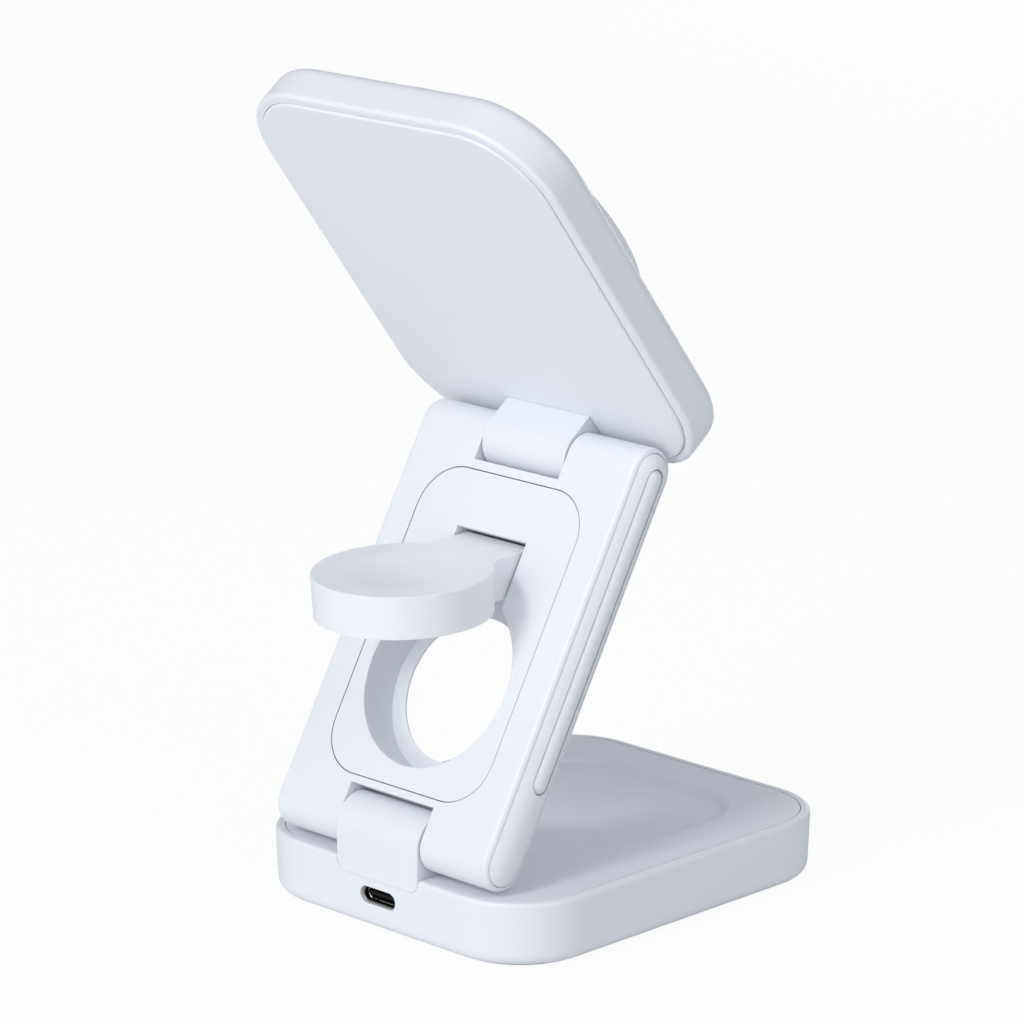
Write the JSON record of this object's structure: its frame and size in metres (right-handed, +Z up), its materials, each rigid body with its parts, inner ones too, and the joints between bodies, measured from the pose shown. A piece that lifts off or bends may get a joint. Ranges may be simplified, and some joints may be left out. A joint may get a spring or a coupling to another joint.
{
  "type": "three in one wireless charger",
  "caption": "Folding Z shaped stand with a base dish for an earbud case, a hinged arm with a fold-out watch puck, and a tilting head with a round phone charging disc.",
  "frame": {"origin": "middle of the foot pad's underside, on the table", "axes": "+Z up; X along the two hinges; -Y is the side with the power socket and the fold-out watch puck"},
  "size_m": [0.0738, 0.0964, 0.1558],
  "materials": {
    "white_shell": "satin white moulded plastic, fine sparked texture",
    "white_plate": "satin white moulded plastic, smoother inlaid covers",
    "white_puck": "satin white moulded plastic",
    "charging_skin": "soft white silicone, matt",
    "foot_rubber": "pale grey silicone, matt",
    "socket_metal": "drawn steel shell",
    "socket_black": "black contact tongue",
    "steel": "bare steel",
    "spring_steel": "spring steel",
    "screw_steel": "zinc plated screws",
    "circuit_green": "green circuit board",
    "chip_black": "black moulded chips",
    "ferrite_grey": "dark grey sintered ferrite",
    "coil_copper": "copper coil",
    "magnet_nickel": "nickel plated magnets"
  },
  "bodies": {
    "base": {"base_shell": "white_shell", "base_top_plate": "white_plate", "base_foot_pad": "foot_rubber", "base_screws": "screw_steel", "base_knuckle": "white_shell", "knuckle_screws": "screw_steel", "counterweight": "steel", "main_board": "circuit_green", "board_chips": "chip_black", "board_inductors": "ferrite_grey", "usb_socket": "socket_metal", "usb_tongue": "socket_black", "earbud_coil": "coil_copper", "earbud_ferrite": "ferrite_grey", "lower_hinge_shaft": "steel"},
    "arm": {"arm_shell": "white_shell", "arm_front_plate": "white_plate", "arm_rear_cover": "white_plate", "lower_friction_clips": "spring_steel", "upper_friction_clips": "spring_steel", "watch_pin": "steel", "side_cap_left": "white_plate", "side_cap_right": "white_plate", "side_bar_left": "white_shell", "side_bar_right": "white_shell"},
    "head": {"head_shell": "white_shell", "head_back_plate": "white_plate", "head_knuckle": "white_shell", "upper_hinge_shaft": "steel", "phone_disc": "white_plate", "phone_disc_skin": "charging_skin", "phone_magnets": "magnet_nickel", "phone_coil": "coil_copper", "phone_ferrite": "ferrite_grey", "head_board": "circuit_green", "head_chips": "chip_black"},
    "watch": {"watch_body": "white_puck", "watch_rear_cover": "white_puck", "watch_coil": "coil_copper", "watch_ferrite": "ferrite_grey", "watch_magnet": "magnet_nickel", "watch_board": "circuit_green"}
  },
  "joints": [
    {"name": "arm_fold", "type": "hinge", "parent": "base", "child": "arm", "pos_m": [0, -0.03795, 0.01835], "axis": [1, 0, 0], "range_deg": [-58, 30]},
    {"name": "head_tilt", "type": "hinge", "parent": "arm", "child": "head", "pos_m": [0, -0.00045, 0.0833], "axis": [-1, 0, 0], "range_deg": [-113, 0]},
    {"name": "watch_flip", "type": "hinge", "parent": "arm", "child": "watch", "pos_m": [0, -0.0123, 0.06428], "axis": [-1, 0, 0], "range_deg": [-57.7, 0]}
  ],
  "couplings": [
    {"joint": "watch_flip", "follows": "head_tilt", "ratio": 0.51062}
  ]
}
